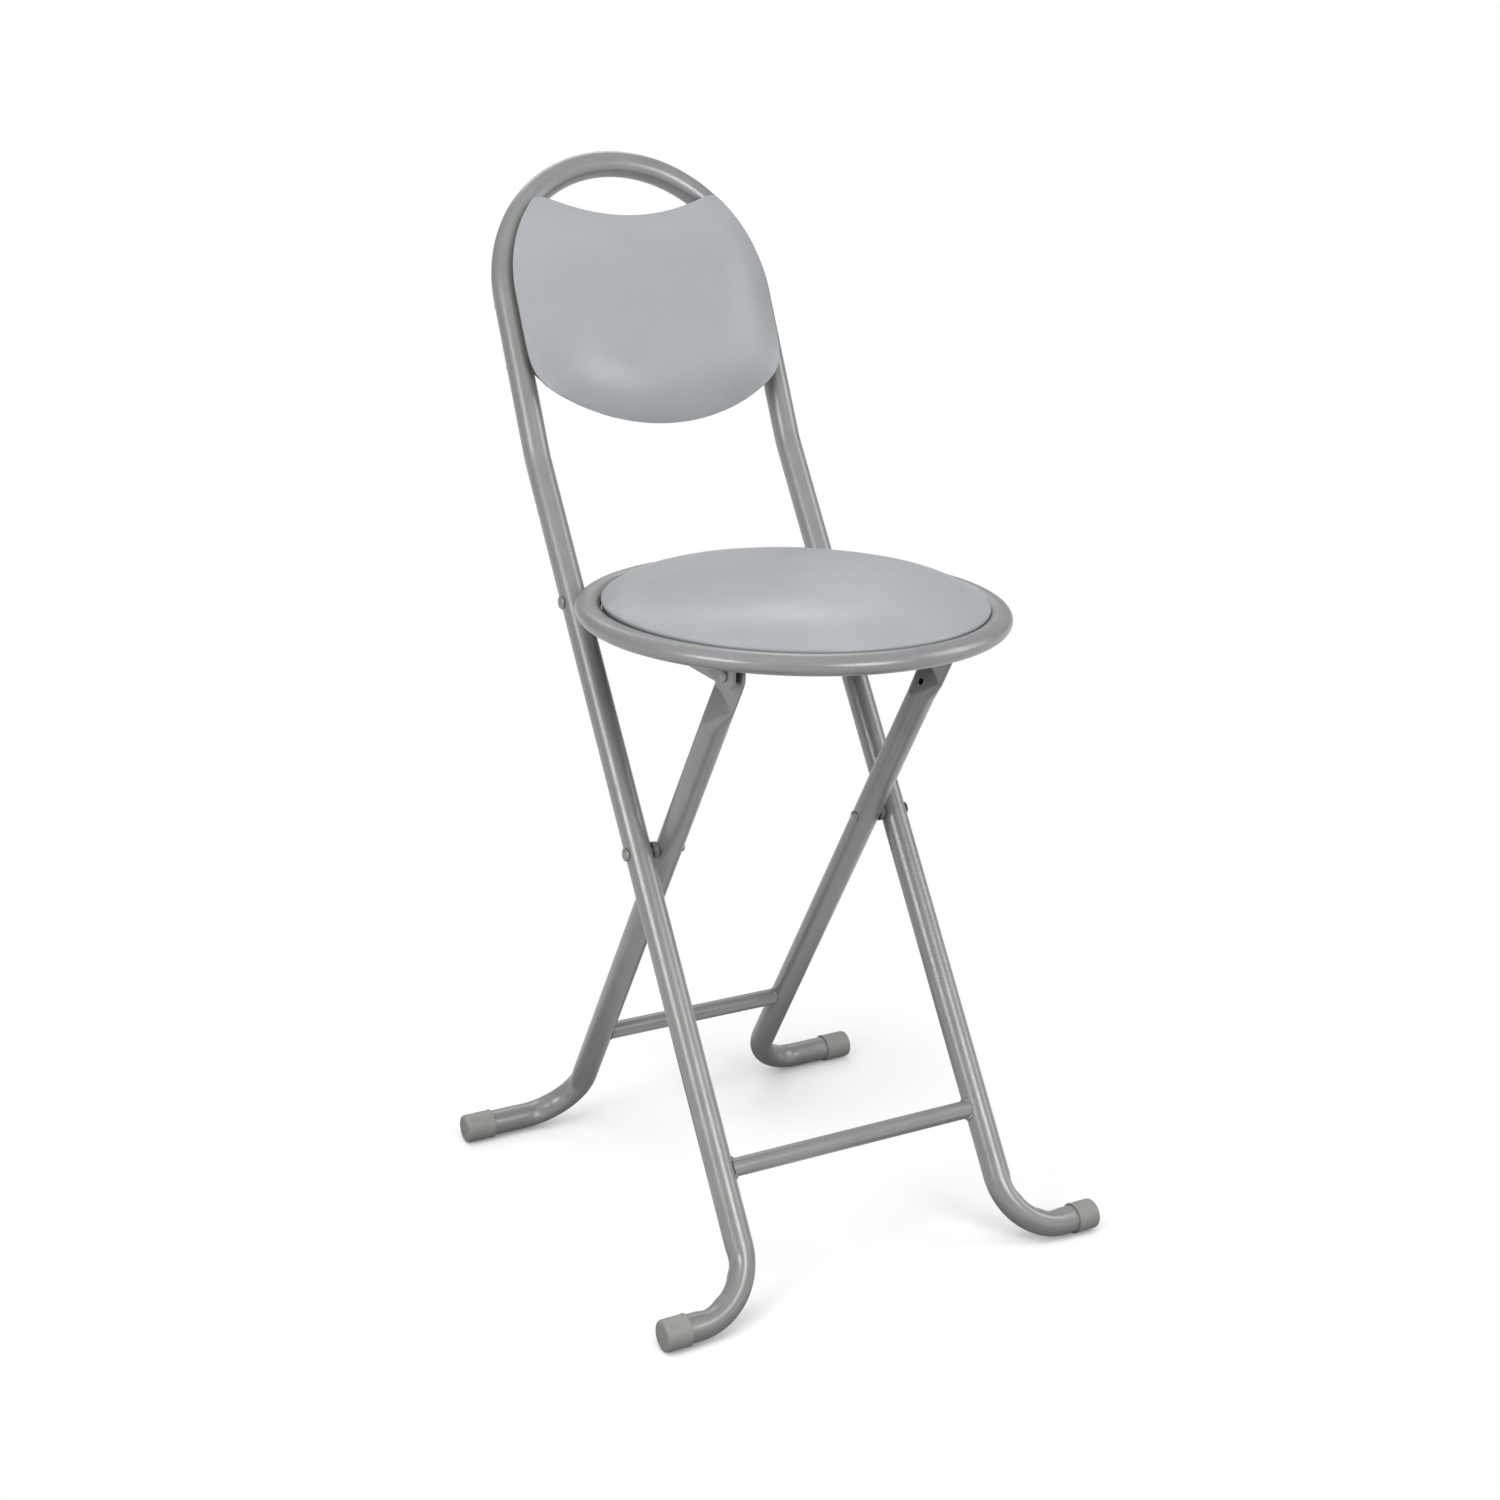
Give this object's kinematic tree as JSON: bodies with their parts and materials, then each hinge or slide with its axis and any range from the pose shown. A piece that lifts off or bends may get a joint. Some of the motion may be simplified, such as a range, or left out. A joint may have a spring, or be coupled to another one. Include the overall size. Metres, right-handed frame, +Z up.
{
  "type": "folding stool",
  "caption": "Folding seat of crossed round tubes with a round padded seat that tilts up as it folds and a rounded padded backrest set inside the arched top of the long frame.",
  "frame": {"origin": "on the floor, under the middle of the outer box of the opened seat", "axes": "+Z up, -Y to the front, towards the knees of who sits on it, +X to its right seen from the front"},
  "size_m": [0.3472, 0.4413, 0.7399],
  "materials": {
    "silver_paint": "semi-gloss silver-grey paint",
    "fastener_steel": "plain zinc-coated steel",
    "grey_plastic": "matte moulded plastic",
    "vinyl": "soft-sheen grained vinyl over foam",
    "plywood": "raw board"
  },
  "bodies": {
    "outer_frame": {"outer_frame_tube": "silver_paint", "front_crossbar": "silver_paint", "backrest_board": "plywood", "backrest_cushion": "vinyl", "backrest_screw_1": "fastener_steel", "backrest_screw_2": "fastener_steel", "backrest_screw_3": "fastener_steel", "backrest_screw_4": "fastener_steel", "foot_cap_front_left": "grey_plastic", "foot_cap_front_right": "grey_plastic", "pivot_rivet_left": "fastener_steel", "pivot_rivet_right": "fastener_steel", "pivot_bush_left": "grey_plastic", "pivot_bush_right": "grey_plastic", "catch_pin_left": "fastener_steel", "catch_pin_right": "fastener_steel"},
    "rear_legs": {"rear_leg_left": "silver_paint", "rear_leg_right": "silver_paint", "rear_crossbar": "silver_paint", "foot_cap_rear_left": "grey_plastic", "foot_cap_rear_right": "grey_plastic", "seat_rivet_left": "fastener_steel", "seat_rivet_right": "fastener_steel", "seat_bush_left": "grey_plastic", "seat_bush_right": "grey_plastic"},
    "seat": {"seat_ring": "silver_paint", "seat_bracket_left": "silver_paint", "seat_bracket_right": "silver_paint", "seat_board": "plywood", "seat_cushion": "vinyl", "seat_screw_1": "fastener_steel", "seat_screw_2": "fastener_steel", "seat_screw_3": "fastener_steel", "seat_screw_4": "fastener_steel"}
  },
  "joints": [
    {"name": "frame_fold", "type": "hinge", "parent": "outer_frame", "child": "rear_legs", "pos_m": [0, -0.04106, 0.2767], "axis": [-1, 0, 0], "range_deg": [0, 55]},
    {"name": "seat_tilt", "type": "hinge", "parent": "rear_legs", "child": "seat", "pos_m": [0, -0.13285, 0.42133], "axis": [1, 0, 0], "range_deg": [0, 121]}
  ],
  "couplings": [
    {"joint": "seat_tilt", "follows": "frame_fold", "ratio": 2.2}
  ]
}
